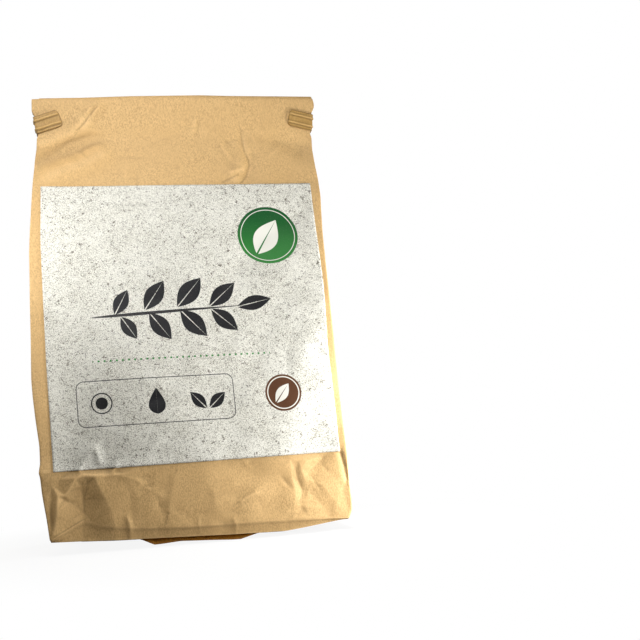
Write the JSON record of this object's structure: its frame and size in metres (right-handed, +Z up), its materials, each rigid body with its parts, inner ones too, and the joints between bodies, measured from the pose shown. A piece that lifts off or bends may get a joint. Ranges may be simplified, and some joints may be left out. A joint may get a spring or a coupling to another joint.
{
  "type": "kraft paper produce bag",
  "caption": "Filled flat-bottom kraft paper bag with side gussets, folded top closed by a tin tie, with a printed paper label and baby kale leaves inside",
  "frame": {"origin": "middle of the flat base on the surface the bag stands on", "axes": "+Z up to the folded top, -Y out of the labelled front, +X to the viewer's right when facing the front"},
  "size_m": [0.2091, 0.1029, 0.3185],
  "materials": {
    "kraft_paper": "uncoated brown kraft paper, softly creased",
    "label_paper": null,
    "tie_paper": "tan paper laminated over two wires",
    "tie_wire": "drawn steel wire",
    "kale_leaf": "fresh dark green leaf, slightly waxy"
  },
  "bodies": {
    "root": {"paper_bag": "kraft_paper", "front_label": "label_paper", "tie_strip": "tie_paper", "tie_wire_upper": "tie_wire", "tie_wire_lower": "tie_wire", "kale_leaves": "kale_leaf"}
  },
  "joints": []
}
